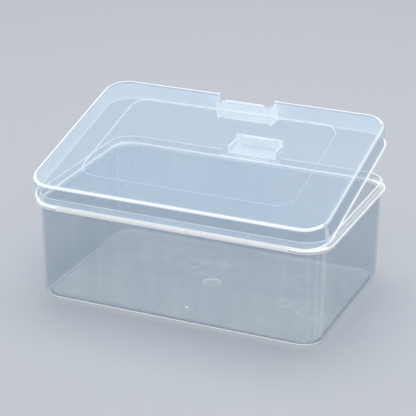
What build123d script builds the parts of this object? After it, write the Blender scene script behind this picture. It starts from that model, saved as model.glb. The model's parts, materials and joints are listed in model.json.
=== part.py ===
from build123d import *
import os

# Hinged storage box, one polypropylene moulding: a tub, a lid on a rear living hinge and a
# snap flap on a front living hinge.
# Frame: origin on the table under the middle of the tub, +Z up, +Y towards the lid hinge,
# -Y towards the clasp, X along the length. Everything is in millimetres and degrees.

# ---- overall sizes -------------------------------------------------------------------------
RIM_LENGTH = 180.0         # outer edge of the rim along X
RIM_WIDTH = 118.5          # outer edge of the rim along Y
TUB_HEIGHT = 59.5          # top face of the rim above the table
LID_HEIGHT = 13.2          # lid from the lower edge of its skirt to its top face

# ---- tub -----------------------------------------------------------------------------------
WALL = 1.2                 # side walls of the tub
FLOOR_THICKNESS = 1.3
WALL_DRAFT = 1.0           # degrees that the walls lean in towards the floor
BOTTOM_RADIUS = 5.0        # outer round between walls and floor
RIM_LEDGE = 2.3            # rim outer edge to the outside of the wall
RIM_THICKNESS = 2.3
RIM_RADIUS = 16.5          # plan corner of the rim
RIM_TOP_ROUND = 0.4
RIM_UNDER_ROUND = 0.9
GATE_RING_DIAMETER = 10.5  # shallow round recess in the middle of the floor, on its inside
GATE_RING_DEPTH = 0.35
GATE_STUB_DIAMETER = 1.6   # small stub inside the tub, towards the hinge
GATE_STUB_HEIGHT = 0.4
GATE_STUB_OFFSET = 36.8

# ---- sealing lip on the rim ----------------------------------------------------------------
LIP_HEIGHT = 4.0
LIP_WALL = 1.0
LIP_CLEARANCE = 0.6        # lip to the inside of the skirt, at the skirt's lower edge
LIP_ROUND = 0.35
LIP_END_CLEARANCE = 0.3    # ends of the lip, beside the clasp, to the pocket's side walls
BEAD_LENGTH = 8.0          # two snap beads on the front of the lip, near its corners
BEAD_HEIGHT = 1.4
BEAD_PROUD = 0.25
BEAD_INSET = 16.0          # middle of a bead from the end of the rim
BEAD_DROP = 2.0            # bead top below the lip's top

# ---- lid -----------------------------------------------------------------------------------
SKIRT_WALL = 1.2
PANEL_THICKNESS = 1.2
SKIRT_DRAFT = 3.0
LID_CORNER_TIGHTER = 1.5   # plan corner of the lid's lower edge, against the rim's
LID_TOP_ROUND = 1.8
LID_INNER_ROUND = 0.7
LID_SEAT_GAP = 0.2         # closed lid above the rim
STEP_INSET_END = 25.2      # stepped panel, from the lid's lower edge outline
STEP_INSET_SIDE = 17.9
STEP_RADIUS = 10.8
STEP_DEPTH = 0.45
LID_REST_ANGLE = 14.3      # the lid stands ajar by this much

# ---- rear living hinge ---------------------------------------------------------------------
HINGE_OFFSET = 0.9         # axis outside the rim's edge
HINGE_END = 4.0            # web's end short of the rim's corner
HINGE_RADIUS = 1.35        # outside of the folded web
HINGE_WEB = 0.4

# ---- clasp pocket in the lid's front -------------------------------------------------------
POCKET_FRONT = 36.4        # width at the skirt's face
POCKET_BACK = 32.6         # width at the back
POCKET_DEPTH = 8.0         # skirt's lower outer edge to the pocket's back
POCKET_WALL = 1.2
POCKET_LIFT = 1.4          # lower edge of the pocket's back wall above the skirt's
POCKET_ROUND = 1.0         # inner top edges of the pocket's walls, beside the pad
PAD_WIDTH = 26.6
PAD_THICKNESS = 1.0
PAD_LIFT = 0.3             # lower edge of the pad above the skirt's
PAD_SINK = 0.8             # top of the pad below the lid's top face
CATCH_WIDTH = 25.0
CATCH_HEIGHT = 6.4
CATCH_PROUD = 2.2
CATCH_ROUND = 0.6          # upper outer edge, which the hook slides over
FRONT_OVERCUT = 2.0        # cutting shapes reach this far past the front

# ---- clasp flap and its living hinge -------------------------------------------------------
CLASP_OFFSET = 0.7         # axis outside the rim's edge
CLASP_RISE = 1.6           # axis above the rim's top face
FLAP_CLEARANCE = 0.6       # flap to the pocket's sides and to its pad, when shut
FLAP_START = 0.1           # axis to the near edge of the flap
FLAP_REACH = 14.0          # axis to the far end of the flap
FLAP_FLOOR = 1.2
FLAP_SIDE = 1.1            # side wall thickness
FLAP_SIDE_HEIGHT = 4.8
FLAP_END = 1.1             # end wall thickness
FLAP_CORNER = 1.4
HOOK_WIDTH = 22.0
HOOK_PROUD = 2.6           # hook from the inner face of the end wall
HOOK_FACE = 2.0            # flat part of the hook at the top of the end wall
HOOK_SLOPE = 1.3
CATCH_CLEARANCE = 0.2      # hook above the catch when the flap is shut
FLAP_REST_ANGLE = 2.7      # the flap's far end is lifted by this much
CLASP_WEB = 0.45
CLASP_WEB_WIDTH = 22.0
CLASP_WEB_RADIUS = 2.4     # outside of the folded web

# ---- places worked out from the sizes ------------------------------------------------------
RIM_UNDERSIDE = TUB_HEIGHT - RIM_THICKNESS
INNER_INSET = RIM_LEDGE + WALL
LIP_INSET = SKIRT_WALL + LIP_CLEARANCE
LID_RADIUS = RIM_RADIUS - LID_CORNER_TIGHTER
LID_BOTTOM = TUB_HEIGHT + LID_SEAT_GAP
LID_TOP = LID_BOTTOM + LID_HEIGHT
FRONT = -RIM_WIDTH / 2
REAR = RIM_WIDTH / 2
LID_AXIS = Axis((0, REAR + HINGE_OFFSET, TUB_HEIGHT + LID_SEAT_GAP / 2), (-1, 0, 0))
CLASP_AXIS = Axis((0, FRONT - CLASP_OFFSET, TUB_HEIGHT + CLASP_RISE), (-1, 0, 0))
HINGE_LENGTH = RIM_LENGTH - 2 * (RIM_RADIUS + HINGE_END)
POCKET_LEAN = (POCKET_FRONT - POCKET_BACK) / 2 / POCKET_DEPTH
FLAP_WIDTH = POCKET_BACK - 2 * FLAP_CLEARANCE
FLAP_END_HEIGHT = FLAP_FLOOR / 2 + CLASP_OFFSET + POCKET_DEPTH - PAD_THICKNESS - FLAP_CLEARANCE
HOOK_REACH = FLAP_REACH - FLAP_END - HOOK_PROUD
CATCH_TOP = TUB_HEIGHT + CLASP_RISE + HOOK_REACH - CATCH_CLEARANCE


def outline(inset, radius):
    """Rounded rectangle that lies inside the rim's outer edge by inset."""
    return RectangleRounded(RIM_LENGTH - 2 * inset, RIM_WIDTH - 2 * inset, radius)


def pocket_half(wall, depth):
    """Half width of the pocket, grown by wall, at a depth behind the skirt's lower outer edge."""
    return POCKET_FRONT / 2 + wall * (1 + POCKET_LEAN ** 2) ** 0.5 - POCKET_LEAN * depth


def block(x_size, y_from, y_to, z_from, z_to):
    """Box centred on X between two Y and two Z levels."""
    centre = (0, (y_from + y_to) / 2, (z_from + z_to) / 2)
    return Pos(*centre) * Box(x_size, y_to - y_from, z_to - z_from)


def export(shape, name):
    """Write one piece to its own STEP file."""
    export_step(shape, f"parts/{name}.step")


# ---- tub -----------------------------------------------------------------------------------
def tub_block(inset, radius, depth, draft, bottom_round):
    """Solid that fills the tub from the rim's underside down by depth, walls leaning in."""
    top = Plane((0, 0, RIM_UNDERSIDE), z_dir=(0, 0, -1))
    solid = extrude(top * outline(inset, radius), amount=depth, taper=draft)
    return fillet(solid.edges().group_by(Axis.Z)[0], bottom_round)


def tub_shell():
    """Floor and four walls, open at the top, up to the underside of the rim."""
    outer = tub_block(RIM_LEDGE, RIM_RADIUS - RIM_LEDGE, RIM_UNDERSIDE, WALL_DRAFT, BOTTOM_RADIUS)
    inner = tub_block(INNER_INSET, RIM_RADIUS - INNER_INSET, RIM_UNDERSIDE - FLOOR_THICKNESS,
                      WALL_DRAFT, BOTTOM_RADIUS - WALL)
    recess = Pos(0, 0, FLOOR_THICKNESS) * extrude(Circle(GATE_RING_DIAMETER / 2), amount=-GATE_RING_DEPTH)
    stub = Pos(0, GATE_STUB_OFFSET, FLOOR_THICKNESS) * extrude(Circle(GATE_STUB_DIAMETER / 2),
                                                               amount=GATE_STUB_HEIGHT)
    return outer - inner - recess + stub


def rim_ring():
    """Flat rim around the mouth of the tub, rounded on its outer edges."""
    slab = Pos(0, 0, RIM_UNDERSIDE) * extrude(outline(0, RIM_RADIUS), amount=RIM_THICKNESS)
    slab = fillet(slab.edges().group_by(Axis.Z)[-1], RIM_TOP_ROUND)
    slab = fillet(slab.edges().group_by(Axis.Z)[0], RIM_UNDER_ROUND)
    mouth = Pos(0, 0, RIM_UNDERSIDE) * extrude(outline(INNER_INSET, RIM_RADIUS - INNER_INSET),
                                               amount=RIM_THICKNESS)
    return slab - mouth


def seal_lip():
    """Thin upright lip on the rim, which the lid's skirt closes over, with two snap beads."""
    on_rim = Pos(0, 0, TUB_HEIGHT)
    outer = on_rim * extrude(outline(LIP_INSET, RIM_RADIUS - LIP_INSET), amount=LIP_HEIGHT)
    inset = LIP_INSET + LIP_WALL
    inner = on_rim * extrude(outline(inset, RIM_RADIUS - inset), amount=LIP_HEIGHT)
    lip = outer - inner
    lip = fillet(lip.edges().group_by(Axis.Z)[-1], LIP_ROUND)
    lip_top = TUB_HEIGHT + LIP_HEIGHT
    gap = 2 * (pocket_half(POCKET_WALL, LIP_INSET) + LIP_END_CLEARANCE)
    lip -= block(gap, FRONT, 0, TUB_HEIGHT, lip_top)
    bead_bottom = Pos(0, 0, lip_top - BEAD_DROP - BEAD_HEIGHT)
    proud = LIP_INSET - BEAD_PROUD
    middle = LIP_INSET + LIP_WALL / 2
    beads = bead_bottom * extrude(outline(proud, RIM_RADIUS - proud) - outline(middle, RIM_RADIUS - middle),
                                  amount=BEAD_HEIGHT)
    bead_zone = block(BEAD_LENGTH, FRONT, 0, TUB_HEIGHT, lip_top)
    for side in (-1, 1):
        lip += beads & (Pos(side * (RIM_LENGTH / 2 - BEAD_INSET), 0, 0) * bead_zone)
    return lip


# ---- lid, modelled shut and then opened to its rest angle ----------------------------------
def lid_block(inset, height, top_round):
    """Solid that fills the lid up to height above its lower edge, walls leaning in."""
    solid = Pos(0, 0, LID_BOTTOM) * extrude(outline(inset, LID_RADIUS - inset), amount=height,
                                            taper=SKIRT_DRAFT)
    return fillet(solid.edges().group_by(Axis.Z)[-1], top_round)


def lid_envelope():
    """The lid's outer shape, without its hollow or its pocket."""
    return lid_block(0, LID_HEIGHT, LID_TOP_ROUND)


def pocket_prism(wall, z_from, z_to):
    """Upright prism of the pocket's plan shape, grown on its sides and back by wall."""
    back = POCKET_DEPTH + wall
    half_front = pocket_half(wall, -FRONT_OVERCUT)
    half_back = pocket_half(wall, back)
    corners = [(-half_front, FRONT - FRONT_OVERCUT), (half_front, FRONT - FRONT_OVERCUT),
               (half_back, FRONT + back), (-half_back, FRONT + back)]
    return Pos(0, 0, z_from) * extrude(make_face(Polyline(*corners, close=True)), amount=z_to - z_from)


def lid_shell():
    """Top panel with its stepped field, and the skirt, cut out where the pocket stands."""
    shell = lid_envelope() - lid_block(SKIRT_WALL, LID_HEIGHT - PANEL_THICKNESS, LID_INNER_ROUND)
    field = RectangleRounded(RIM_LENGTH - 2 * STEP_INSET_END, RIM_WIDTH - 2 * STEP_INSET_SIDE,
                             STEP_RADIUS)
    shell -= Pos(0, 0, LID_TOP - STEP_DEPTH) * extrude(field, amount=STEP_DEPTH)
    shell += Pos(0, 0, LID_TOP - PANEL_THICKNESS - STEP_DEPTH) * extrude(field, amount=STEP_DEPTH)
    return shell - pocket_prism(POCKET_WALL, LID_BOTTOM, LID_TOP)


def lid_pocket():
    """Side walls and back wall of the pocket that the flap swings into, side walls reaching lower."""
    walls = (pocket_prism(POCKET_WALL, LID_BOTTOM, LID_TOP) & lid_envelope())
    walls -= pocket_prism(0, LID_BOTTOM, LID_TOP)
    near_opening = pocket_prism(POCKET_WALL / 2, LID_BOTTOM, LID_TOP)
    top_edges = walls.edges().filter_by_position(Axis.Z, LID_TOP, LID_TOP)
    walls = fillet([edge for edge in top_edges if near_opening.is_inside(edge.center())], POCKET_ROUND)
    back = FRONT + POCKET_DEPTH
    walls += block(PAD_WIDTH, back, back + POCKET_WALL, LID_BOTTOM, LID_TOP)
    walls -= block(POCKET_BACK, back, back + POCKET_WALL, LID_BOTTOM, LID_BOTTOM + POCKET_LIFT)
    return walls


def lid_catch():
    """Raised pad on the pocket's back wall, with the ledge that the flap's hook holds down."""
    back = FRONT + POCKET_DEPTH
    face = back - PAD_THICKNESS
    pad = block(PAD_WIDTH, face, back, LID_BOTTOM + PAD_LIFT, LID_TOP - PAD_SINK)
    ledge = block(CATCH_WIDTH, face - CATCH_PROUD, face, CATCH_TOP - CATCH_HEIGHT, CATCH_TOP)
    slide = ledge.edges().filter_by(Axis.X).group_by(Axis.Z)[-1].sort_by(Axis.Y)[0]
    return pad + fillet(slide, CATCH_ROUND)


def opened(shape):
    """Turn a piece of the shut lid to the angle at which the lid stands ajar."""
    return shape.rotate(LID_AXIS, LID_REST_ANGLE)


# ---- living hinges -------------------------------------------------------------------------
def hinge_web():
    """Thin strip folded round the lid's axis, from the rim's edge to the lid's skirt."""
    axis = Plane(LID_AXIS.position, x_dir=(0, 1, 0), z_dir=(1, 0, 0))
    ring = Circle(HINGE_RADIUS) - Circle(HINGE_RADIUS - HINGE_WEB)
    tube = extrude(axis * ring, amount=HINGE_LENGTH / 2, both=True)
    tube &= block(HINGE_LENGTH, REAR - RIM_TOP_ROUND, REAR + HINGE_OFFSET + HINGE_RADIUS,
                  RIM_UNDERSIDE, TUB_HEIGHT + HINGE_RADIUS + HINGE_OFFSET)
    web = tube - rim_ring() - opened(lid_envelope())
    return web.solids().sort_by(SortBy.VOLUME)[-1]


def clasp_web():
    """Thin strip folded round the flap's axis, from the rim's front edge to the flap's underside."""
    axis = Plane(CLASP_AXIS.position, x_dir=(0, 1, 0), z_dir=(1, 0, 0))
    ring = Circle(CLASP_WEB_RADIUS) - Circle(CLASP_WEB_RADIUS - CLASP_WEB)
    tube = extrude(axis * ring, amount=CLASP_WEB_WIDTH / 2, both=True)
    tube &= block(CLASP_WEB_WIDTH, FRONT - CLASP_OFFSET - CLASP_WEB_RADIUS, FRONT + RIM_TOP_ROUND,
                  RIM_UNDERSIDE, TUB_HEIGHT + CLASP_RISE)
    web = tube - rim_ring() - clasp_flap()
    return web.solids().sort_by(SortBy.VOLUME)[-1]


# ---- clasp flap ----------------------------------------------------------------------------
def flap_block(x_size, reach_from, reach_to, low, high):
    """Box on the level flap: reach is measured out from its axis, low and high from it up."""
    y = CLASP_AXIS.position.Y
    z = CLASP_AXIS.position.Z
    return block(x_size, y - reach_to, y - reach_from, z + low, z + high)


def clasp_flap():
    """Tray-shaped flap: floor, two side walls and a tall end wall that carries the hook."""
    under = -FLAP_FLOOR / 2
    flap = flap_block(FLAP_WIDTH, FLAP_START, FLAP_REACH, under, under + FLAP_END_HEIGHT)
    flap = fillet(flap.edges().filter_by(Axis.Z).group_by(Axis.Y)[0], FLAP_CORNER)
    inside = flap_block(FLAP_WIDTH - 2 * FLAP_SIDE, 0, FLAP_REACH - FLAP_END,
                        under + FLAP_FLOOR, under + FLAP_END_HEIGHT)
    over_sides = flap_block(FLAP_WIDTH, 0, FLAP_REACH - FLAP_END,
                            under + FLAP_SIDE_HEIGHT, under + FLAP_END_HEIGHT)
    flap = flap - inside - over_sides
    top = under + FLAP_END_HEIGHT
    wall = FLAP_REACH - FLAP_END
    profile = [(-wall, top), (-wall + HOOK_PROUD, top), (-wall + HOOK_PROUD, top - HOOK_FACE),
               (-wall, top - HOOK_FACE - HOOK_SLOPE)]
    section = Plane(CLASP_AXIS.position, x_dir=(0, 1, 0), z_dir=(1, 0, 0))
    hook = extrude(section * make_face(Polyline(*profile, close=True)), amount=HOOK_WIDTH / 2, both=True)
    flap += hook
    return flap.rotate(CLASP_AXIS, FLAP_REST_ANGLE)


# ---- all pieces ----------------------------------------------------------------------------
os.makedirs("parts", exist_ok=True)
export(tub_shell(), "tub_shell")
export(rim_ring(), "rim_ring")
export(seal_lip(), "seal_lip")
export(opened(lid_shell()), "lid_shell")
export(opened(lid_pocket()), "lid_pocket")
export(opened(lid_catch()), "lid_catch")
export(hinge_web(), "hinge_web")
export(clasp_web(), "clasp_web")
export(clasp_flap(), "clasp_flap")
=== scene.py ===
"""Milky polypropylene storage box: a tub, a lid on a rear living hinge and a front snap flap.

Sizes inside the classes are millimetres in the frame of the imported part, +Z up, the lid hinge
towards +Y and the clasp towards -Y. A working mesh is scaled to metres once, where its Piece
is made.
"""

import json
import logging
import math
from collections.abc import Callable
from dataclasses import dataclass
from enum import Enum

import bmesh
import bpy
from mathutils import Matrix, Vector
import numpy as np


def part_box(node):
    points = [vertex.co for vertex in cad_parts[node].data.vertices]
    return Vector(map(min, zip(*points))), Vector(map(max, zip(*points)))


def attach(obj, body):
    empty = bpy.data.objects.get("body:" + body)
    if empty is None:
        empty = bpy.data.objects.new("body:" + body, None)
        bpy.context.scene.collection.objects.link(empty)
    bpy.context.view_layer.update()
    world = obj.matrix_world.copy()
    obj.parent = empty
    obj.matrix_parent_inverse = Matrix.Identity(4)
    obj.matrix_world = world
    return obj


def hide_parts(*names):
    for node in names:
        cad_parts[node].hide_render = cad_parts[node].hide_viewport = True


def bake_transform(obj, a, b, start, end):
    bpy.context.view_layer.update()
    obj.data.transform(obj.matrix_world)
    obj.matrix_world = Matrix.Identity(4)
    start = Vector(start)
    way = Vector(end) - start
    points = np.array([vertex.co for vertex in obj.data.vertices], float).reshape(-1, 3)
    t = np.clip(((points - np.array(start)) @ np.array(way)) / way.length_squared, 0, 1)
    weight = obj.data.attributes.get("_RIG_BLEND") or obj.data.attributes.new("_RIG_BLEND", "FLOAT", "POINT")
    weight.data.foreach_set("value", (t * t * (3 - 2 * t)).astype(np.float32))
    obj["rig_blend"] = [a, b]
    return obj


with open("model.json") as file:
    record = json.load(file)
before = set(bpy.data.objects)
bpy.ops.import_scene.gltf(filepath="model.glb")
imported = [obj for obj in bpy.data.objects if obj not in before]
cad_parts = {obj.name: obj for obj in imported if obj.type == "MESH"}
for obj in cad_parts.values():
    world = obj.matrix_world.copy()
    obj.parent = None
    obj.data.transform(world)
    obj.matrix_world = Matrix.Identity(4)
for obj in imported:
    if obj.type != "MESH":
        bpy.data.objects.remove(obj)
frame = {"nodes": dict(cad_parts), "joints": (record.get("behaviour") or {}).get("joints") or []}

log = logging.getLogger("storage_box")
logging.basicConfig(level=logging.INFO, format="%(message)s")

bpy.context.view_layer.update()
MM = 0.001
EDGE_HIGHLIGHT_MARK = "edge"          # face attribute: how much a face is a thick moulded edge, whiter and more opaque, and lit with painted highlight and glow
ONE_SIDED_LIGHT_MARK = "own_side"  # face attribute: painted highlight and backlight on faces, shown from their own side only
GLEAM_HALF_WIDTH = 3.8      # half the angle that a gleam on a rounded corner takes, in degrees
TOUCH = 0.01                # a vertex this near a plane counts as lying on it
SHORT_EDGE = 0.004          # edges shorter than this are merged before rounding
MERGED_EDGE = 0.02          # and shorter than this when the piece is finished
SQUARE = 60.0               # edges that turn by more degrees than this are square corners
UPRIGHT = 0.2               # an upright face's normal rises or falls by less than this
CLEAR_LAYERS = 32           # clear surfaces that a ray may pass
Triple = tuple[float, float, float]
Colour = Triple
Gleams = tuple[tuple[float, float], ...]    # where each gleam lies, and its mark
Mesh = bmesh.types.BMesh
Edges = list[bmesh.types.BMEdge]
Tree = bpy.types.NodeTree
Socket = bpy.types.NodeSocket


class Body(Enum):
    """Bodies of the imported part."""

    TUB = "tub"
    LID = "lid"
    FLAP = "flap"


class Join(Enum):
    """Ways in which one solid is combined with another."""

    ADD = "UNION"
    CUT = "DIFFERENCE"


# ---- frame ----
def node_box(node: str) -> tuple[Vector, Vector]:
    """Give the lowest and highest corner of a CAD node in millimetres.

    Args:
        node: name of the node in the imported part.

    Returns:
        The two corners.
    """
    low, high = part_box(node)
    return low / MM, high / MM


def joint_place(name: str) -> Vector:
    """Give a point on a joint's axis in millimetres.

    Args:
        name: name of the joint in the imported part.

    Returns:
        The point.
    """
    joint = next(joint for joint in frame["joints"] if joint["name"] == name)
    return Vector(joint["pos_m"]) / MM


# ---- objects and meshes ----
def placed(name: str, data: bpy.types.ID) -> bpy.types.Object:
    """Make an object of some data and put it in the scene.

    Args:
        name: name of the object.
        data: its mesh, camera or light.

    Returns:
        The object.
    """
    made = bpy.data.objects.new(name, data)
    bpy.context.scene.collection.objects.link(made)
    return made


def as_object(name: str, mesh: Mesh) -> bpy.types.Object:
    """Turn a working mesh into an object of the scene. The working mesh is used up.

    Args:
        name: name of the object and of its mesh.
        mesh: the working mesh.

    Returns:
        The object.
    """
    data = bpy.data.meshes.new(name)
    mesh.to_mesh(data)
    mesh.free()
    return placed(name, data)


def mark_layer(mesh: Mesh, name: str = EDGE_HIGHLIGHT_MARK) -> bmesh.types.BMLayerItem:
    """Give the face layer that holds a mark, making it where it is missing."""
    layers = mesh.faces.layers.float
    return layers.get(name) or layers.new(name)


def soften(mesh: Mesh, edges: Edges, width: float, segments: int, mark: float,
           crown: float = 0.0) -> None:
    """Round some edges and mark the new faces.

    Args:
        mesh: the mesh that is changed.
        edges: the edges to round.
        width: how far the round reaches from the edge.
        segments: faces across the round.
        mark: edge mark that the new faces get.
        crown: how much the mark gathers where the round leans half over; 0 is an even mark.
    """
    layer = mark_layer(mesh)
    made = bmesh.ops.bevel(mesh, geom=edges, offset=width, offset_type="OFFSET",
                           segments=segments, profile=0.5, affect="EDGES", clamp_overlap=True,
                           material=-1)
    for face in made["faces"]:
        face.normal_update()
        lean = math.asin(min(1.0, abs(face.normal.z)))
        face[layer] = max(face[layer], mark * math.sin(2 * lean) ** crown)


def sharp_edges(mesh: Mesh, angle: float,
                chosen: Callable[[Vector], bool] = lambda place: True) -> Edges:
    """Find the sharp edges whose two ends are both chosen.

    Args:
        mesh: where to look.
        angle: edges that turn by more than this many degrees are sharp.
        chosen: says from an end's place whether it is one of them.

    Returns:
        The edges.
    """
    return [edge for edge in mesh.edges
            if edge.is_manifold and edge.calc_face_angle() > math.radians(angle)
            and all(chosen(vert.co) for vert in edge.verts)]


def soften_sharp(mesh: Mesh, width: float, mark: float) -> None:
    """Round every edge that is still sharp.

    Args:
        mesh: the mesh that is changed.
        width: how far the round reaches from the edge.
        mark: edge mark that the new faces get.
    """
    bmesh.ops.dissolve_degenerate(mesh, dist=SHORT_EDGE, edges=mesh.edges)
    soften(mesh, sharp_edges(mesh, angle=35.0), width, segments=2, mark=mark)


def soften_front(block: Mesh, width: float) -> None:
    """Round the edges of a block except those at its back, where it is sunk into a wall.

    Args:
        block: the mesh that is changed.
        width: how far the round reaches from the edge.
    """
    front = min(vert.co.y for vert in block.verts) + TOUCH
    edges = [edge for edge in block.edges if any(vert.co.y < front for vert in edge.verts)]
    soften(block, edges, width, segments=2, mark=0.85)


def mark_faces(mesh: Mesh, mark: float, chosen: Callable[[Vector, Vector], bool],
               name: str = EDGE_HIGHLIGHT_MARK) -> None:
    """Raise a mark of some faces.

    Args:
        mesh: the mesh that is changed.
        mark: the least mark that they get.
        chosen: says from where a face is and its normal whether it is one of them.
        name: which mark.
    """
    layer = mark_layer(mesh, name)
    mesh.normal_update()
    for face in mesh.faces:
        if chosen(face.calc_center_median(), face.normal):
            face[layer] = max(face[layer], mark)


def corner_lean(normal: Vector) -> float:
    """Give by how many degrees a wall's normal is turned from the Y axis towards the X axis."""
    return math.degrees(math.atan2(abs(normal.x), abs(normal.y)))


def outwardness(at: Vector, normal: Vector) -> float:
    """Give how much an upright face looks away from the box's middle; below 0 it looks inward."""
    return normal.x * at.x + normal.y * at.y if abs(normal.z) < UPRIGHT else 0.0


def turn_to_rest(mesh: Mesh, joint: str, angle: float) -> None:
    """Turn a mesh that was built level to its place in the rest pose.

    Args:
        mesh: the mesh that is changed.
        joint: the joint whose axis it turns about.
        angle: by how many degrees, towards the lid hinge.
    """
    turn = Matrix.Rotation(-math.radians(angle), 3, "X")
    bmesh.ops.rotate(mesh, cent=joint_place(joint), matrix=turn, verts=mesh.verts)


def box(x_size: float, y_from: float, y_to: float, z_from: float, z_to: float) -> Mesh:
    """Make a box centred on X between two Y and two Z levels.

    Args:
        x_size: width along X.
        y_from: front face.
        y_to: back face.
        z_from: lower face.
        z_to: upper face.

    Returns:
        The new mesh.
    """
    mesh = bmesh.new()
    mark_layer(mesh)
    bmesh.ops.create_cube(mesh, size=1.0)
    bmesh.ops.scale(mesh, vec=(x_size, y_to - y_from, z_to - z_from), verts=mesh.verts)
    centre = Vector((0, (y_from + y_to) / 2, (z_from + z_to) / 2))
    bmesh.ops.translate(mesh, vec=centre, verts=mesh.verts)
    return mesh


def wedge(front_half: float, back_half: float, y_from: float, y_to: float, z_from: float,
          z_to: float) -> Mesh:
    """Make an upright prism whose plan narrows from front to back.

    Args:
        front_half: half width at the front.
        back_half: half width at the back.
        y_from: front face.
        y_to: back face.
        z_from: lower face.
        z_to: upper face.

    Returns:
        The new mesh.
    """
    mesh = box(2 * front_half, y_from, y_to, z_from, z_to)
    back = [vert for vert in mesh.verts if vert.co.y > (y_from + y_to) / 2]
    bmesh.ops.scale(mesh, vec=(back_half / front_half, 1, 1), verts=back)
    return mesh


def disc(radius: float, y: float, z_from: float, z_to: float, segments: int = 48) -> Mesh:
    """Make an upright round peg on the Y axis of the plan.

    Args:
        radius: its radius.
        y: its place along Y.
        z_from: lower face.
        z_to: upper face.
        segments: sides.

    Returns:
        The new mesh.
    """
    mesh = bmesh.new()
    mark_layer(mesh)
    bmesh.ops.create_cone(mesh, cap_ends=True, segments=segments, radius1=radius, radius2=radius,
                          depth=z_to - z_from)
    bmesh.ops.translate(mesh, vec=(0, y, (z_from + z_to) / 2), verts=mesh.verts)
    return mesh


def combined(base: Mesh, how: Join, other: Mesh) -> Mesh:
    """Add one closed solid to another or cut it out. Both given meshes are used up.

    Args:
        base: the solid that is changed.
        how: whether the other solid is added or cut out.
        other: the other solid.

    Returns:
        The new mesh.
    """
    holders = [as_object("joining", mesh) for mesh in (base, other)]
    modifier = holders[0].modifiers.new("join", "BOOLEAN")
    modifier.operation = how.value
    modifier.object = holders[1]
    modifier.solver = "EXACT"
    graph = bpy.context.evaluated_depsgraph_get()
    data = bpy.data.meshes.new_from_object(holders[0].evaluated_get(graph))
    result = bmesh.new()
    result.from_mesh(data)
    for holder in holders:
        old = holder.data
        bpy.data.objects.remove(holder)
        bpy.data.meshes.remove(old)
    bpy.data.meshes.remove(data)
    bmesh.ops.remove_doubles(result, verts=result.verts, dist=0.001)
    mark_layer(result)
    return result


@dataclass(frozen=True)
class Outline:
    """Rounded rectangle in plan, centred on the origin."""

    half_x: float
    half_y: float
    radius: float

    def inset(self, by: float) -> "Outline":
        """Give the outline that lies inside this one by a distance all round."""
        return Outline(self.half_x - by, self.half_y - by, self.radius - by)

    def place(self, point: Vector, target: "Outline") -> tuple[float, float]:
        """Carry a point of this outline to the matching point of another one.

        Args:
            point: a point on this outline.
            target: the other outline.

        Returns:
            The X and Y of the matching point.
        """
        matched = []
        for value, half, other in ((point.x, self.half_x, target.half_x),
                                   (point.y, self.half_y, target.half_y)):
            straight = half - self.radius
            share = max(-1.0, min(1.0, value / straight))
            lean = (value - share * straight) / self.radius
            matched.append(share * (other - target.radius) + lean * target.radius)
        return matched[0], matched[1]


class Loft:
    """Closed shell grown ring by ring from a rounded rectangle."""

    def __init__(self, outline: Outline, level: float, corner_segments: int = 12) -> None:
        """Start with the flat face inside an outline.

        Args:
            outline: the first ring.
            level: its height.
            corner_segments: edges along each rounded corner.
        """
        self.mesh = bmesh.new()
        mark_layer(self.mesh)
        self.outline = outline
        bmesh.ops.create_grid(self.mesh, x_segments=1, y_segments=1, size=1.0)
        bmesh.ops.scale(self.mesh, vec=(outline.half_x, outline.half_y, 1), verts=self.mesh.verts)
        bmesh.ops.translate(self.mesh, vec=(0, 0, level), verts=self.mesh.verts)
        bmesh.ops.bevel(self.mesh, geom=self.mesh.verts[:], offset=outline.radius,
                        offset_type="OFFSET", segments=corner_segments, profile=0.5,
                        affect="VERTICES", clamp_overlap=False, material=-1)
        self.rings = [self.mesh.edges[:]]

    def grow(self, outline: Outline, level: float) -> "Loft":
        """Add a ring of faces up to the next outline.

        Args:
            outline: the next ring.
            level: its height.

        Returns:
            The loft itself, so that calls can follow each other.
        """
        made = bmesh.ops.extrude_edge_only(self.mesh, edges=self.rings[-1])["geom"]
        verts = {item for item in made if isinstance(item, bmesh.types.BMVert)}
        for vert in verts:
            x, y = self.outline.place(vert.co, outline)
            vert.co = (x, y, level)
        self.rings.append([edge for edge in self.mesh.edges if set(edge.verts) <= verts])
        self.outline = outline
        return self

    def close(self) -> None:
        """Fill the last ring with one flat face."""
        bmesh.ops.contextual_create(self.mesh, geom=self.rings[-1])
        bmesh.ops.recalc_face_normals(self.mesh, faces=self.mesh.faces)

    def round(self, ring: int, width: float, segments: int, mark: float,
              crown: float = 0.0) -> None:
        """Round the edges of one ring.

        Args:
            ring: number of the ring, in the order of growing.
            width: how far the round reaches.
            segments: faces across the round.
            mark: edge mark that the new faces get.
            crown: how much the mark gathers where the round leans half over.
        """
        soften(self.mesh, self.rings[ring], width, segments, mark, crown)


# ---- finishes ----
def new_group(name: str, inputs: tuple[str, ...], outputs: tuple[str, ...]) -> Tree:
    """Make an empty shader node group whose sockets are all numbers.

    Args:
        name: name of the group.
        inputs: names of its inputs.
        outputs: names of its outputs.

    Returns:
        The group, with its input and output nodes inside.
    """
    group = bpy.data.node_groups.new(name, "ShaderNodeTree")
    for way, labels in (("INPUT", inputs), ("OUTPUT", outputs)):
        for label in labels:
            group.interface.new_socket(label, in_out=way, socket_type="NodeSocketFloat")
    group.nodes.new("NodeGroupInput").name = "in"
    group.nodes.new("NodeGroupOutput").name = "out"
    return group


def add_math(tree: Tree, operation: str, *values: float | Socket, clamp: bool = False) -> Socket:
    """Add a Math node fed by numbers and sockets.

    Args:
        tree: tree that gets the node.
        operation: the node's operation.
        *values: a number or an output socket for each input.
        clamp: whether the result is kept between 0 and 1.

    Returns:
        The node's output socket.
    """
    node = tree.nodes.new("ShaderNodeMath")
    node.operation = operation
    node.use_clamp = clamp
    for socket, value in zip(node.inputs, values):
        if isinstance(value, Socket):
            tree.links.new(value, socket)
        else:
            socket.default_value = value
    return node.outputs[0]


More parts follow.
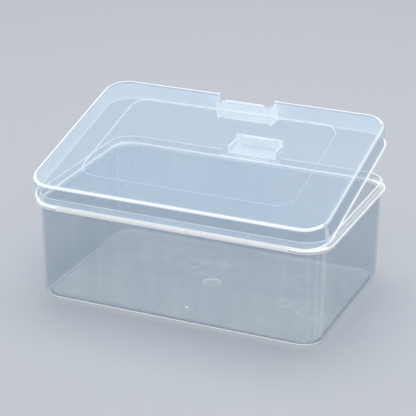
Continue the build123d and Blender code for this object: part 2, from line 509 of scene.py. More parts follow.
def add_noise(tree: Tree, place: Socket, scale: Socket, stretch: Triple, detail: float,
              distortion: float = 0.0, roughness: float = 0.5) -> Socket:
    """Add a noise pattern.

    Args:
        tree: tree that gets the nodes.
        place: output socket with the coordinates.
        scale: output socket with the noise's scale.
        stretch: how closely the pattern is packed along X, Y and Z.
        detail: the noise's detail.
        distortion: the noise's distortion.
        roughness: the noise's roughness.

    Returns:
        The output socket with the pattern.
    """
    mapping = tree.nodes.new("ShaderNodeMapping")
    mapping.inputs["Scale"].default_value = stretch
    tree.links.new(place, mapping.inputs["Vector"])
    noise = tree.nodes.new("ShaderNodeTexNoise")
    noise.inputs["Detail"].default_value = detail
    noise.inputs["Distortion"].default_value = distortion
    noise.inputs["Roughness"].default_value = roughness
    tree.links.new(mapping.outputs["Vector"], noise.inputs["Vector"])
    tree.links.new(scale, noise.inputs["Scale"])
    return noise.outputs["Fac"]


def add_tint(tree: Tree, plain: Colour, marked: Colour, mark: Socket) -> Socket:
    """Add a Mix node that turns one colour into another.

    Args:
        tree: tree that gets the node.
        plain: the colour where the mark is 0.
        marked: the colour where it is 1.
        mark: output socket with the mark.

    Returns:
        The output socket with the colour.
    """
    node = tree.nodes.new("ShaderNodeMix")
    node.data_type = "RGBA"
    node.inputs["A"].default_value = (*plain, 1)
    node.inputs["B"].default_value = (*marked, 1)
    tree.links.new(mark, node.inputs["Factor"])
    return node.outputs["Result"]


class SurfaceEffects:
    """Node groups that every moulded finish shares."""

    def __init__(self) -> None:
        """Build the groups once."""
        self.flow = self._flow()
        self.edge = self._edge()

    @staticmethod
    def _flow() -> Tree:
        """Make the marks of the melt, cloudy, streaked density and slow ripples, and a painted wavy
        reflection of pale lines.

        Returns:
            The group, with outputs Haze, Ripple and Reflections.
        """
        group = new_group("melt_flow_and_reflection", ("Scale",), ("Haze", "Ripple", "Reflections"))
        place = group.nodes.new("ShaderNodeTexCoord").outputs["Object"]
        scale = group.nodes["in"].outputs["Scale"]
        haze = add_noise(group, place, scale, (1.0, 2.2, 0.6), detail=3.0, distortion=0.6,
                         roughness=0.55)
        finer = add_math(group, "MULTIPLY", scale, 2.5)
        ripple = add_noise(group, place, finer, (1.0, 1.0, 1.0), detail=1.0)
        streak = add_noise(group, place, scale, (7.0, 7.0, 0.8), detail=2.0, distortion=0.5)
        reflection_noise = add_noise(group, place, scale, (3.0, 3.0, 10.0), detail=3.0, distortion=2.0)
        cloud = add_math(group, "MULTIPLY", haze, 0.55)
        density = add_math(group, "MULTIPLY_ADD", streak, 0.45, cloud)
        # painted wavy reflection: pale lines, and the patches in which they show
        lines = add_math(group, "MULTIPLY_ADD", reflection_noise, 5.0, -2.4, clamp=True)
        patches = add_math(group, "MULTIPLY_ADD", haze, 6.0, -2.9, clamp=True)
        wavy_reflection = add_math(group, "MULTIPLY", lines, patches)
        for label, value in (("Haze", density), ("Ripple", ripple), ("Reflections", wavy_reflection)):
            group.links.new(value, group.nodes["out"].inputs[label])
        return group

    @staticmethod
    def _edge() -> Tree:
        """Make the masks of the moulded edges, which are whiter and thicker and get painted highlight and
        glow.

        Returns:
            The group, with outputs Edge, seen from both sides, and Own Side, painted highlight and backlight
            seen from one.
        """
        group = new_group("moulded_edge_and_highlight", ("Strength",), ("Edge", "Own Side"))
        strength = group.nodes["in"].outputs["Strength"]
        for label, name in (("Edge", EDGE_HIGHLIGHT_MARK), ("Own Side", ONE_SIDED_LIGHT_MARK)):
            mark = group.nodes.new("ShaderNodeAttribute")
            mark.attribute_name = name
            scaled = add_math(group, "MULTIPLY", mark.outputs["Fac"], strength, clamp=True)
            group.links.new(scaled, group.nodes["out"].inputs[label])
        return group


@dataclass(frozen=True)
class MilkyPlastic:
    """Translucent polypropylene, seen through more where it is thin and met square on, with painted
    highlight and glow on its marked edges.
    """

    name: str
    body: Colour
    # edge: colour of the marked edges, partly the thick plastic's whiter tone and partly painted highlight
    edge: Colour
    opacity: float              # one surface, met square on
    edge_opacity: float
    grazing: float              # opacity added where the surface is met at a glancing angle
    roughness: float
    glow: float = 0.30          # painted glow: emission on the marked edges, standing in for light the plastic leads to them
    haze: float = 0.30          # share by which the opacity drifts
    wavy_reflection: float = 0.0          # edge mark of the painted wavy reflection
    flow_scale: float = 14.0
    ripple_height: float = 0.00012
    refraction: float = 1.49

    def build(self, effects: SurfaceEffects) -> bpy.types.Material:
        """Make the material.

        Args:
            effects: the shared node groups.

        Returns:
            The material.
        """
        material = bpy.data.materials.new(self.name)
        material.use_nodes = True
        tree = material.node_tree
        nodes, links = tree.nodes, tree.links
        shader = nodes["Principled BSDF"]
        shader.inputs["IOR"].default_value = self.refraction
        flow = nodes.new("ShaderNodeGroup")
        flow.node_tree = effects.flow
        flow.inputs["Scale"].default_value = self.flow_scale
        marked = nodes.new("ShaderNodeGroup")
        marked.node_tree = effects.edge
        marked.inputs["Strength"].default_value = 1.0
        side = nodes.new("ShaderNodeNewGeometry")
        facing = add_math(tree, "SUBTRACT", 1.0, side.outputs["Backfacing"])
        one_sided = add_math(tree, "MULTIPLY", marked.outputs["Own Side"], facing)
        # painted wavy reflection and one-sided painted highlight and backlight, added to the edge mark
        pale = add_math(tree, "MULTIPLY_ADD", flow.outputs["Reflections"], self.wavy_reflection, one_sided)
        edge = add_math(tree, "ADD", marked.outputs["Edge"], pale, clamp=True)
        # marked faces turn whiter and give off a painted glow, though the plastic is no lamp
        links.new(add_tint(tree, self.body, self.edge, edge), shader.inputs["Base Color"])
        painted_glow_colour = tuple(self.glow * part for part in self.edge)
        links.new(add_tint(tree, (0, 0, 0), painted_glow_colour, edge), shader.inputs["Emission Color"])
        shader.inputs["Emission Strength"].default_value = 1.0
        drift = add_math(tree, "MULTIPLY_ADD", flow.outputs["Haze"], 2 * self.haze, 1 - self.haze)
        square_on = add_math(tree, "MULTIPLY", drift, self.opacity)
        slant = nodes.new("ShaderNodeLayerWeight")
        slant.inputs["Blend"].default_value = 0.5
        curve = add_math(tree, "POWER", slant.outputs["Facing"], 3.0)
        slanted = add_math(tree, "MULTIPLY_ADD", curve, self.grazing, square_on)
        gain = add_math(tree, "MULTIPLY", edge, self.edge_opacity - self.opacity)
        links.new(add_math(tree, "ADD", slanted, gain, clamp=True), shader.inputs["Alpha"])
        rough = add_math(tree, "MULTIPLY_ADD", flow.outputs["Haze"], 0.12, self.roughness - 0.06)
        links.new(rough, shader.inputs["Roughness"])
        bump = nodes.new("ShaderNodeBump")
        bump.inputs["Strength"].default_value = 1.0
        bump.inputs["Distance"].default_value = self.ripple_height
        links.new(flow.outputs["Ripple"], bump.inputs["Height"])
        links.new(bump.outputs["Normal"], shader.inputs["Normal"])
        return material


TUB_FINISH = MilkyPlastic(
    "tub_milky", body=(0.40, 0.52, 0.64), edge=(1.0, 1.0, 0.98), opacity=0.23, edge_opacity=0.90,
    grazing=0.10, roughness=0.20, glow=0.40, haze=0.60, wavy_reflection=0.13)
LID_FINISH = MilkyPlastic(
    "lid_milky", body=(0.47, 0.65, 0.84), edge=(1.0, 1.0, 0.98), opacity=0.26, edge_opacity=0.90,
    grazing=0.12, roughness=0.20, glow=0.42)
FLAP_FINISH = MilkyPlastic(
    "flap_milky", body=(0.78, 0.86, 0.92), edge=(0.94, 0.95, 0.95), opacity=0.58,
    edge_opacity=0.97, grazing=0.20, roughness=0.22, glow=0.38)
WEB_FINISH = MilkyPlastic(
    "web_whitened", body=(0.95, 0.97, 0.99), edge=(1.0, 1.0, 1.0), opacity=0.85,
    edge_opacity=0.95, grazing=0.10, roughness=0.34, flow_scale=60.0)


# ---- pieces ----
class Piece:
    """One finished mesh and what it stands for."""

    def __init__(self, name: str, mesh: Mesh, finish: bpy.types.Material, slot: str,
                 *nodes: str) -> None:
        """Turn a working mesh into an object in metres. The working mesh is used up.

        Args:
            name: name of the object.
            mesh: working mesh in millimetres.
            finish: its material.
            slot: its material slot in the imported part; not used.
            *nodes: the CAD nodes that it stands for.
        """
        bmesh.ops.dissolve_degenerate(mesh, dist=MERGED_EDGE, edges=mesh.edges)
        bmesh.ops.recalc_face_normals(mesh, faces=mesh.faces)
        bmesh.ops.scale(mesh, vec=(MM, MM, MM), verts=mesh.verts)
        for face in mesh.faces:
            face.smooth = True
        self.object = as_object(name, mesh)
        data = self.object.data
        data.materials.append(finish)
        data.set_sharp_from_angle(angle=math.radians(50))
        weights = self.object.modifiers.new("face_weights", "WEIGHTED_NORMAL")
        weights.keep_sharp = True
        log.info("%s: %d faces", name, len(data.polygons))
        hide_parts(*nodes)


@dataclass
class Tub:
    """Floor, four leaning walls, flat rim and the sealing lip on it."""

    effects: SurfaceEffects
    wall: float = 1.2
    floor: float = 1.3
    draft: float = 1.0
    ledge: float = 2.3
    rim_thickness: float = 2.3
    rim_radius: float = 16.5
    bottom_round: float = 5.0
    lip_wall: float = 1.0
    lip_inset: float = 1.8
    lip_sink: float = 0.3
    bead_length: float = 6.8
    bead_height: float = 1.4
    bead_proud: float = 0.25
    bead_inset: float = 16.0
    bead_drop: float = 2.0
    gate_radius: float = 5.25
    gate_depth: float = 0.35
    stub_radius: float = 0.9
    stub_height: float = 0.4
    stub_offset: float = 36.8
    bottom_gleams: Gleams = ((0.64, 1.0), (0.40, 0.35))     # least fall of the normal, mark
    corner_gleams: Gleams = (   # lean of the wall's normal in degrees, mark
        (26.0, 0.10), (48.75, 0.18), (67.5, 0.24), (86.0, 0.12))

    def __post_init__(self) -> None:
        """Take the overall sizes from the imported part."""
        high = node_box("rim_ring")[1]
        self.rim = Outline(high.x, high.y, self.rim_radius)
        self.top = high.z
        self.lip_top = node_box("seal_lip")[1].z

    def shell(self) -> Mesh:
        """Grow the tub from its underside up, over the rim and down inside.

        Returns:
            The new mesh.
        """
        under = self.top - self.rim_thickness
        slope = math.tan(math.radians(self.draft))
        inner = self.ledge + self.wall
        loft = Loft(self.rim.inset(self.ledge + under * slope), 0.0)
        loft.grow(self.rim.inset(self.ledge), under)
        loft.grow(self.rim, under)
        loft.grow(self.rim, self.top)
        loft.grow(self.rim.inset(self.lip_inset + self.lip_wall), self.top)
        loft.grow(self.rim.inset(inner), self.top)
        loft.grow(self.rim.inset(inner), under)
        loft.grow(self.rim.inset(inner + (under - self.floor) * slope), self.floor)
        loft.close()
        underside, neck, rim_low, rim_high, _, mouth, _, inside_floor = range(8)
        loft.round(underside, self.bottom_round, segments=12, mark=0.0)
        loft.round(inside_floor, self.bottom_round - self.wall, segments=8, mark=0.0)
        loft.round(rim_low, width=0.9, segments=4, mark=0.8, crown=1.0)
        loft.round(rim_high, width=0.4, segments=3, mark=1.0)
        loft.round(mouth, width=0.4, segments=3, mark=1.0)
        loft.round(neck, width=0.4, segments=2, mark=0.4)
        # whitened rim and lip seat, lit with painted highlight and glow
        mark_faces(loft.mesh, 0.45, lambda at, normal: at.z > under + 0.05)
        inside_lip = self.rim.inset(self.lip_inset + self.lip_wall - 0.1)
        mark_faces(loft.mesh, 1.0, lambda at, normal: at.z > self.top - 0.5
                   and normal.z > 0.3 and abs(at.x) < inside_lip.half_x
                   and abs(at.y) < inside_lip.half_y)
        # painted highlights: a white line along the bottom round, seen from outside only
        for fall, mark in self.bottom_gleams:
            mark_faces(loft.mesh, mark, lambda at, normal: at.z < self.bottom_round
                       and fall < -normal.z < 0.97, ONE_SIDED_LIGHT_MARK)
        # painted highlights: upright streaks down the wall corners
        for lean, mark in self.corner_gleams:
            mark_faces(loft.mesh, mark, lambda at, normal: self.bottom_round < at.z < under
                       and abs(corner_lean(normal) - lean) < GLEAM_HALF_WIDTH)
        return loft.mesh

    def marked_shell(self) -> Mesh:
        """Add the gate mark and the small stub on the floor.

        Returns:
            The tub's whole mesh.
        """
        core = self.floor / 2
        gate = disc(self.gate_radius, 0, self.floor - self.gate_depth, self.floor + 1)
        stub = disc(self.stub_radius, self.stub_offset, core, self.floor + self.stub_height,
                    segments=20)
        shell = combined(combined(self.shell(), Join.CUT, gate), Join.ADD, stub)
        rims = sharp_edges(shell, SQUARE, lambda place: core < place.z < self.floor + 1)
        soften(shell, rims, width=0.3, segments=2, mark=0.9)
        # painted light: the floor is whitened and glows so that it reads lighter than the shade it lies in
        mark_faces(shell, 0.45, lambda at, normal: core < at.z < self.floor + 0.1)
        mark_faces(shell, 0.53, lambda at, normal: core < at.z < self.floor - 0.1)
        mark_faces(shell, 1.0, lambda at, normal: at.z > self.floor + 0.1
                   and math.hypot(at.x, at.y - self.stub_offset) < self.stub_radius + 0.1)
        return shell

    def lip(self) -> Mesh:
        """Grow the upright lip, cut it open beside the clasp and round its top.

        Returns:
            The new mesh.
        """
        low = self.top - self.lip_sink
        outer = self.rim.inset(self.lip_inset)
        inner = outer.inset(self.lip_wall)
        loft = Loft(outer, low)
        bmesh.ops.delete(loft.mesh, geom=loft.mesh.faces[:], context="FACES_ONLY")
        loft.grow(outer, self.lip_top).grow(inner, self.lip_top).grow(inner, low).grow(outer, low)
        mesh = loft.mesh
        bmesh.ops.remove_doubles(mesh, verts=mesh.verts, dist=0.001)
        bmesh.ops.recalc_face_normals(mesh, faces=mesh.faces)
        gap = self.gap_half()
        front = node_box("rim_ring")[0].y
        mesh = combined(mesh, Join.CUT, box(2 * gap, front - 1, 0, low - 1, self.lip_top + 1))
        bead_top = self.lip_top - self.bead_drop
        bead_place = self.rim.half_x - self.bead_inset
        for side in (-1, 1):
            bead = box(self.bead_length, -outer.half_y - self.bead_proud,
                       -outer.half_y + self.lip_wall / 2, bead_top - self.bead_height, bead_top)
            bmesh.ops.translate(bead, vec=(side * bead_place, 0, 0), verts=bead.verts)
            mesh = combined(mesh, Join.ADD, bead)
        soften_sharp(mesh, width=0.2, mark=0.9)
        mark_faces(mesh, 0.35, lambda at, normal: True)
        mark_faces(mesh, 0.8, lambda at, normal: at.z > self.lip_top - 0.25)
        return mesh

    def gap_half(self) -> float:
        """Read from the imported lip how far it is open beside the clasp.

        Returns:
            Half the length of the opening.
        """
        node = frame["nodes"]["seal_lip"]
        front = [vert.co.x for vert in node.data.vertices if vert.co.y < 0 and vert.co.x > 0]
        return min(front) / MM

    def build(self) -> None:
        """Make the pieces that ride on the tub."""
        finish = TUB_FINISH.build(self.effects)
        body = Piece("tub_moulding", self.marked_shell(), finish, "tub_pp", "tub_shell", "rim_ring")
        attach(body.object, Body.TUB.value)
        lip = Piece("sealing_lip", self.lip(), finish, "tub_pp", "seal_lip")
        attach(lip.object, Body.TUB.value)


@dataclass
class Lid:
    """Top panel with its stepped field, the skirt, and the pocket that the flap swings into."""

    effects: SurfaceEffects
    rest_angle: float = 14.3
    height: float = 13.2
    seat_gap: float = 0.2
    radius: float = 15.0
    skirt: float = 1.2
    panel: float = 1.2
    draft: float = 3.0
    top_round: float = 1.8
    inner_round: float = 0.7
    skirt_backlight: float = 0.72    # painted backlight: whitening of the skirt's inner faces, seen from inside
    glow_strip: float = 0.4     # band of the top face beside its rounded edge, given a painted highlight
    corner_gleams: Gleams = ((67.5, 0.45),)     # lean of the skirt's normal in degrees, mark
    top_gleams: tuple[tuple[tuple[float, float], float, float, float], ...] = (
        ((0, 1), 0.40, 0.97, 0.78), ((0, -1), 0.70, 0.998, 0.9), ((1, 0), 0.70, 0.998, 0.9),
        ((-1, 0), 0.70, 0.93, 0.6))     # side, least and greatest rise of the normal, mark
    step_end: float = 25.2
    step_side: float = 17.9
    step_radius: float = 10.8
    step_depth: float = 0.45
    pocket_front: float = 36.4
    pocket_back: float = 32.6
    pocket_depth: float = 8.0
    pocket_wall: float = 1.2
    pocket_lift: float = 1.4
    pocket_round: float = 0.8
    pocket_mark: float = 0.48   # edge mark of the pocket's upright faces
    pocket_white: float = 0.9   # the same of its level faces and its foot
    pocket_backlight: float = 0.9    # painted backlight on its walls seen from inside the lid
    pad_width: float = 26.6
    pad_thickness: float = 1.0
    pad_lift: float = 0.3
    pad_sink: float = 0.8
    catch_width: float = 25.0
    catch_height: float = 6.4
    catch_proud: float = 2.2
    catch_drop: float = 1.7     # top of the catch below the lid's top face
    sunk: float = 0.3           # how far a joined solid reaches into its neighbour

    def __post_init__(self) -> None:
        """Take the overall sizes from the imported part."""
        low, high = node_box("rim_ring")
        self.outline = Outline(high.x, high.y, self.radius)
        self.bottom = high.z + self.seat_gap
        self.top = self.bottom + self.height
        self.front = low.y

    def shell(self) -> Mesh:
        """Grow the lid from its stepped field outwards, down the skirt and back up inside.

        Returns:
            The new mesh.
        """
        slope = math.tan(math.radians(self.draft))
        step = Outline(self.outline.half_x - self.step_end,
                       self.outline.half_y - self.step_side, self.step_radius)
        under = self.top - self.panel
        edge_inset = self.height * slope
        flat_inset = edge_inset + self.top_round + self.glow_strip
        loft = Loft(step, self.top - self.step_depth, corner_segments=16)
        loft.grow(step, self.top)
        loft.grow(self.outline.inset(flat_inset), self.top)
        loft.grow(self.outline.inset(edge_inset), self.top)
        loft.grow(self.outline, self.bottom)
        loft.grow(self.outline.inset(self.skirt), self.bottom)
        loft.grow(self.outline.inset(self.skirt + (under - self.bottom) * slope), under)
        loft.grow(step, under)
        loft.grow(step, under - self.step_depth)
        loft.close()
        step_low, step_high, _, top, skirt_out, skirt_in, inside, under_high, under_low = range(9)
        loft.round(top, self.top_round, segments=8, mark=0.45, crown=1.0)
        # painted highlights on the top round, set side by side: broad on the hinge side, narrow on the
        # others
        for side, low, high, mark in self.top_gleams:
            mark_faces(loft.mesh, mark, lambda at, normal: at.z > self.top - self.top_round
                       and low < normal.z < high
                       and Vector(side).dot(normal.xy.normalized()) > 0.5)
        loft.round(inside, self.inner_round, segments=3, mark=0.3)
        for ring in (skirt_out, skirt_in):
            loft.round(ring, width=0.25, segments=2, mark=1.0)
        for ring in (step_low, step_high):
            loft.round(ring, width=0.18, segments=2, mark=0.65)
        for ring in (under_high, under_low):
            loft.round(ring, width=0.18, segments=2, mark=0.2)
        mark_faces(loft.mesh, 1.0, lambda at, normal: at.z < self.bottom + 0.05)
        # painted backlight: the skirt's inner faces are whitened, seen from inside only
        mark_faces(loft.mesh, self.skirt_backlight, lambda at, normal: at.z < under
                   and outwardness(at, normal) < 0, ONE_SIDED_LIGHT_MARK)
        # painted highlights: upright streaks on the skirt's outer corners
        for lean, mark in self.corner_gleams:
            mark_faces(loft.mesh, mark, lambda at, normal: at.z < under
                       and outwardness(at, normal) > 0
                       and abs(corner_lean(normal) - lean) < GLEAM_HALF_WIDTH)
        # painted highlight: the band beside the top round is whitened and glows
        flat = self.outline.inset(flat_inset - TOUCH)
        mark_faces(loft.mesh, 0.25, lambda at, normal: at.z > self.top - TOUCH
                   and (abs(at.x) > flat.half_x or abs(at.y) > flat.half_y))
        return loft.mesh

    def with_pocket(self) -> Mesh:
        """Add the pocket's walls, cut the pocket open and add the pad and catch at its back.

        Returns:
            The lid's whole mesh, still level.
        """
        lean = (self.pocket_front - self.pocket_back) / 2 / self.pocket_depth
        back = self.front + self.pocket_depth
        outside = self.pocket_front / 2 + self.pocket_wall * math.hypot(1, lean)
        start = self.skirt / 2
        reach = self.pocket_depth + self.pocket_wall
        walls = wedge(outside - lean * start, outside - lean * reach, self.front + start,
                      self.front + reach, self.bottom + 0.01, self.top - self.panel / 2)
        mesh = combined(self.shell(), Join.ADD, walls)
        ahead = 3.0
        hollow = wedge(self.pocket_front / 2 + lean * ahead, self.pocket_back / 2,
                       self.front - ahead, back, self.bottom - 1, self.top + 1)
        mesh = combined(mesh, Join.CUT, hollow)
        lift = box(self.pocket_back - 0.02, back - 1, back + self.pocket_wall + 1,
                   self.bottom - 1, self.bottom + self.pocket_lift)
        mesh = combined(mesh, Join.CUT, lift)
        self.round_mouth(mesh, back)
        face = back - self.pad_thickness
        pad = box(self.pad_width, face, back + self.sunk, self.bottom + self.pad_lift,
                  self.top - self.pad_sink)
        soften_front(pad, width=0.35)
        mesh = combined(mesh, Join.ADD, pad)
        catch_top = self.top - self.catch_drop
        catch = box(self.catch_width, face - self.catch_proud, face + self.sunk,
                    catch_top - self.catch_height, catch_top)
        soften_front(catch, width=0.5)
        return combined(mesh, Join.ADD, catch)

    def mark_pocket(self, mesh: Mesh) -> None:
        """Mark the pocket's walls, pad and catch, which are thick and whiter, with painted highlight and
        glow, and painted backlight on faces seen from inside.

        Args:
            mesh: the lid, with its pocket.
        """
        layer = mark_layer(mesh)
        backlight = mark_layer(mesh, ONE_SIDED_LIGHT_MARK)
        foot = self.bottom + self.pocket_lift - 0.2
        held = [face for face in mesh.faces if self.holds(face)]
        parts = dict.fromkeys(part for face in held for part in (*face.verts, *face.edges))
        bmesh.ops.bisect_plane(mesh, geom=[*held, *parts], dist=0.0001, plane_co=(0, 0, foot),
                               plane_no=(0, 0, 1))
        mesh.normal_update()
        for face in mesh.faces:
            if self.holds(face):
                level = abs(face.normal.z) > 0.4
                low = all(vert.co.z < foot + TOUCH for vert in face.verts)
                mark = self.pocket_white if level or low else self.pocket_mark
                face[layer] = max(face[layer], mark)
                middle = face.calc_center_median()
                inward = face.normal.y > 0.3 or face.normal.x * middle.x > 8
                face[backlight] = self.pocket_backlight * inward

    def in_pocket(self, place: Vector) -> bool:
        """Tell whether a point of the level lid lies on the pocket or inside it."""
        deep = self.front + self.pocket_depth + self.pocket_wall + 0.4
        return place.y < deep and abs(place.x) < self.pocket_front / 2 + self.pocket_wall + 0.6

    def holds(self, face: bmesh.types.BMFace) -> bool:
        """Tell whether a face of the level lid belongs to the pocket."""
        return all(self.in_pocket(vert.co) for vert in face.verts)

    def round_mouth(self, mesh: Mesh, back: float) -> None:
        """Round the pocket's top edges.

        Args:
            mesh: the lid, with its pocket cut open.
            back: the pocket's back wall.
        """
        half = self.pocket_front / 2 + 0.1
        mouth = sharp_edges(mesh, SQUARE, lambda place: place.z > self.top - TOUCH
                            and abs(place.x) < half and place.y < back + 0.1)
        soften(mesh, mouth, self.pocket_round, segments=4, mark=0.7)

    def build(self) -> None:
        """Make the piece that rides on the lid, turned to its rest angle."""
        mesh = self.with_pocket()
        low = self.bottom + self.pocket_lift + 0.1
        under = sharp_edges(mesh, SQUARE, lambda place: self.in_pocket(place) and place.z < low)
        soften(mesh, under, width=0.45, segments=3, mark=1.0)
        soften_sharp(mesh, width=0.3, mark=1.0)
        self.mark_pocket(mesh)
        turn_to_rest(mesh, "lid_hinge", self.rest_angle)
        body = Piece("lid_moulding", mesh, LID_FINISH.build(self.effects), "lid_pp", "lid_shell",
                     "lid_pocket", "lid_catch")
        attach(body.object, Body.LID.value)


@dataclass
class ClaspFlap:
    """Tray-shaped flap: floor, two side walls and a tall end wall that carries the hook."""

    effects: SurfaceEffects
    rest_angle: float = 2.7
    width: float = 31.4
    start: float = 0.1
    reach: float = 14.0
    floor: float = 1.2
    side: float = 1.1
    side_height: float = 4.8
    end: float = 1.1
    end_height: float = 7.7
    corner: float = 1.4
    hook_width: float = 22.0
    hook_proud: float = 2.6
    hook_face: float = 2.0
    hook_slope: float = 1.3

    def __post_init__(self) -> None:
        """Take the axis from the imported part."""
        self.axis = joint_place("clasp_hinge")
        self.underside = self.axis.z - self.floor / 2

    def block(self, width: float, near: float, far: float, low: float, high: float) -> Mesh:
        """Make a box on the level flap.

        Args:
            width: size along X.
            near: nearer end, measured out from the axis.
            far: farther end.
            low: lower face, above the flap's underside.
            high: upper face.

        Returns:
            The new mesh.
        """
        return box(width, self.axis.y - far, self.axis.y - near, self.underside + low,
                   self.underside + high)

    @staticmethod
    def far_corners(mesh: Mesh) -> Edges:
        """Find the upright edges at the far end of a block.

        Args:
            mesh: the block.

        Returns:
            The edges.
        """
        far = min(vert.co.y for vert in mesh.verts) + TOUCH
        return [edge for edge in mesh.edges if all(vert.co.y < far for vert in edge.verts)
                and abs(edge.verts[0].co.z - edge.verts[1].co.z) > 1]

    def tray(self) -> Mesh:
        """Hollow out the tray, lower its sides and add the hook.

        Returns:
            The new mesh, still level.
        """
        mesh = self.block(self.width, self.start, self.reach, 0, self.end_height)
        soften(mesh, self.far_corners(mesh), self.corner, segments=4, mark=0.8)
        wall = self.reach - self.end
        inside = self.block(self.width - 2 * self.side, -1, wall, self.floor, self.end_height + 1)
        soften(inside, self.far_corners(inside), width=0.6, segments=2, mark=0.2)
        mesh = combined(mesh, Join.CUT, inside)
        above = self.block(self.width + 2, -1, wall - 0.05, self.side_height, self.end_height + 1)
        mesh = combined(mesh, Join.CUT, above)
        hook_low = self.end_height - self.hook_face - self.hook_slope
        hook = self.block(self.hook_width, wall - self.hook_proud, wall + self.end / 2, hook_low,
                          self.end_height - 0.02)
        tip = self.axis.y - wall + self.hook_proud
        low = min(vert.co.z for vert in hook.verts)
        for vert in hook.verts:
            if vert.co.z < low + TOUCH and vert.co.y > tip - TOUCH:
                vert.co.z += self.hook_slope
        mesh = combined(mesh, Join.ADD, hook)
        soften_sharp(mesh, width=0.4, mark=1.0)
        wall_top = self.underside + self.side_height
        near_end = self.axis.y - self.start
        # the wall tops, near end and sides are whitened and glow, painted highlight on thick plastic; faces
        # looking towards the box get a one-sided painted highlight
        mark_faces(mesh, 0.6, lambda at, normal: normal.z > 0.9 and at.z > wall_top - 0.1)
        mark_faces(mesh, 1.0, lambda at, normal: normal.y > 0.9 and at.y > near_end - 0.2)
        mark_faces(mesh, 0.35, lambda at, normal: abs(normal.x) > 0.9)
        mark_faces(mesh, 0.15, lambda at, normal: True)
        mark_faces(mesh, 0.65, lambda at, normal: normal.y > 0.5, ONE_SIDED_LIGHT_MARK)
        mark_faces(mesh, 0.2, lambda at, normal: normal.z > 0.9, ONE_SIDED_LIGHT_MARK)
        return mesh

    def build(self) -> None:
        """Make the piece that rides on the flap, turned to its rest angle."""
        mesh = self.tray()
        turn_to_rest(mesh, "clasp_hinge", self.rest_angle)
        body = Piece("flap_tray", mesh, FLAP_FINISH.build(self.effects), "flap_pp", "clasp_flap")
        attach(body.object, Body.FLAP.value)


@dataclass
class FoldedWeb:
    """Thin strip folded round a joint's axis, from the tub to the body that turns."""

    name: str
    node: str
    joint: str
    mover: Body
    radius: float
    thickness: float
    tub_angle: float            # where the strip leaves the tub, in degrees from +Y towards +Z
    mover_angle: float          # where it meets the turning body
    start: tuple[float, float]  # blend's start, in Y and Z from the axis
    end: tuple[float, float]

    def strip(self) -> Mesh:
        """Spin a thin bar round the axis.

        Returns:
            The new mesh.
        """
        low, high = node_box(self.node)
        axis = joint_place(self.joint)
        mesh = bmesh.new()
        mark_layer(mesh)
        bmesh.ops.create_grid(mesh, x_segments=1, y_segments=1, size=0.5)
        bmesh.ops.scale(mesh, vec=(high.x - low.x, self.thickness, 1), verts=mesh.verts)
        offset = self.radius - self.thickness / 2
        bmesh.ops.translate(mesh, vec=(0, axis.y + offset, axis.z), verts=mesh.verts)
        turn = Matrix.Rotation(math.radians(self.tub_angle), 3, "X")
        centre = (0, axis.y, axis.z)
        bmesh.ops.rotate(mesh, cent=centre, matrix=turn, verts=mesh.verts)
        sweep = math.radians(self.mover_angle - self.tub_angle)
        steps = max(8, round(abs(math.degrees(sweep)) / 8))
        bmesh.ops.spin(mesh, geom=[*mesh.verts, *mesh.edges, *mesh.faces], cent=centre,
                       axis=(1, 0, 0), angle=sweep, steps=steps, use_duplicate=False,
                       use_merge=False)
        bmesh.ops.recalc_face_normals(mesh, faces=mesh.faces)
        # painted glow: the whole strip is marked, so that it glows a little though it lies in shade
        mark_faces(mesh, 0.3, lambda at, normal: True)
        return mesh

    def build(self, finish: bpy.types.Material) -> None:
        """Make the strip and blend it across its joint.

        Args:
            finish: its material.
        """
        axis = joint_place(self.joint)
        piece = Piece(self.name, self.strip(), finish, "web_pp", self.node)
        ends = [Vector((0, axis.y + y, axis.z + z)) * MM for y, z in (self.start, self.end)]
        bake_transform(piece.object, Body.TUB.value, self.mover.value, start=ends[0], end=ends[1])


REAR_WEB = FoldedWeb(
    "rear_hinge_web", "hinge_web", "lid_hinge", Body.LID, radius=1.35, thickness=0.4,
    tub_angle=-131.0, mover_angle=121.0, start=(0, -0.95), end=(0, 0.95))
FRONT_WEB = FoldedWeb(
    "clasp_hinge_web", "clasp_web", "clasp_hinge", Body.FLAP, radius=2.4, thickness=0.45,
    tub_angle=-72.0, mover_angle=-166.0, start=(0.6, -2.2), end=(-2.25, -0.7))


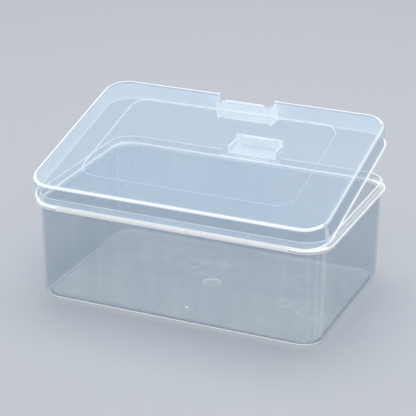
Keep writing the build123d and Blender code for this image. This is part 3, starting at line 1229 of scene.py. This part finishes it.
# ---- studio ----
@dataclass
class Studio:
    """Camera, soft lights and a plain pale floor."""

    azimuth: float = 203.5606
    elevation: float = 22.4956
    roll: float = 0.196
    location: Triple = (-0.34145, 0.78970, 0.40538)
    lens: float = 138.46
    floor_size: float = 8.0
    floor_colour: Colour = (0.54, 0.57, 0.62)
    world_strength: float = 0.52

    def camera(self) -> None:
        """Place the camera by azimuth, elevation and roll."""
        a, e, r = (math.radians(v) for v in (self.azimuth, self.elevation, self.roll))
        back = Vector((math.sin(a) * math.cos(e), -math.cos(a) * math.cos(e), math.sin(e)))
        right = Vector((0, 0, 1)).cross(back).normalized()
        up = back.cross(right)
        right, up = (math.cos(r) * right + math.sin(r) * up, math.cos(r) * up - math.sin(r) * right)
        data = bpy.data.cameras.new("studio_camera")
        data.lens = self.lens
        data.sensor_width = 36.0
        data.clip_start = 0.01
        camera = placed("studio_camera", data)
        camera.matrix_world = Matrix((right, up, back)).transposed().to_4x4()
        camera.location = self.location
        bpy.context.scene.camera = camera

    def floor(self) -> None:
        """Lay a plain pale floor under the box."""
        mesh = bmesh.new()
        bmesh.ops.create_grid(mesh, x_segments=8, y_segments=8, size=self.floor_size / 2)
        floor = as_object("studio_floor", mesh)
        material = bpy.data.materials.new("plain_floor")
        material.use_nodes = True
        shader = material.node_tree.nodes["Principled BSDF"]
        shader.inputs["Base Color"].default_value = (*self.floor_colour, 1)
        shader.inputs["Roughness"].default_value = 0.85
        shader.inputs["Specular IOR Level"].default_value = 0.2
        floor.data.materials.append(material)

    def light(self, name: str, place: Vector, target: Vector, size: tuple[float, float],
              power: float) -> None:
        """Hang one soft light.

        Args:
            name: name of the light.
            place: where it hangs.
            target: the point it faces.
            size: its width and height.
            power: its power in watts.
        """
        data = bpy.data.lights.new(name, "AREA")
        data.shape = "RECTANGLE"
        data.size, data.size_y = size
        data.energy = power
        lamp = placed(name, data)
        lamp.rotation_mode = "QUATERNION"
        lamp.rotation_quaternion = (place - target).to_track_quat("Z", "Y")
        lamp.location = place

    def build(self) -> None:
        """Set up the whole studio."""
        scene = bpy.context.scene
        scene.view_settings.view_transform = "Standard"
        world = bpy.data.worlds.new("soft_room")
        world.use_nodes = True
        background = world.node_tree.nodes["Background"]
        background.inputs["Color"].default_value = (1, 1, 1, 1)
        background.inputs["Strength"].default_value = self.world_strength
        scene.world = world
        self.camera()
        self.floor()
        middle = Vector((0, 0, 0.05))
        self.light("overhead_soft", Vector((0.1, -0.35, 1.3)), middle, (1.1, 1.1), 9.0)
        self.light("near_strip", Vector((-0.35, 0.95, 1.25)), middle, (1.6, 0.22), 5.0)


def main() -> None:
    """Build the studio and then the box, sub-assembly by sub-assembly."""
    Studio().build()
    effects = SurfaceEffects()
    Tub(effects).build()
    Lid(effects).build()
    ClaspFlap(effects).build()
    white = WEB_FINISH.build(effects)
    REAR_WEB.build(white)
    FRONT_WEB.build(white)
    bpy.context.scene.cycles.transparent_max_bounces = CLEAR_LAYERS


if __name__ == "__main__":
    main()
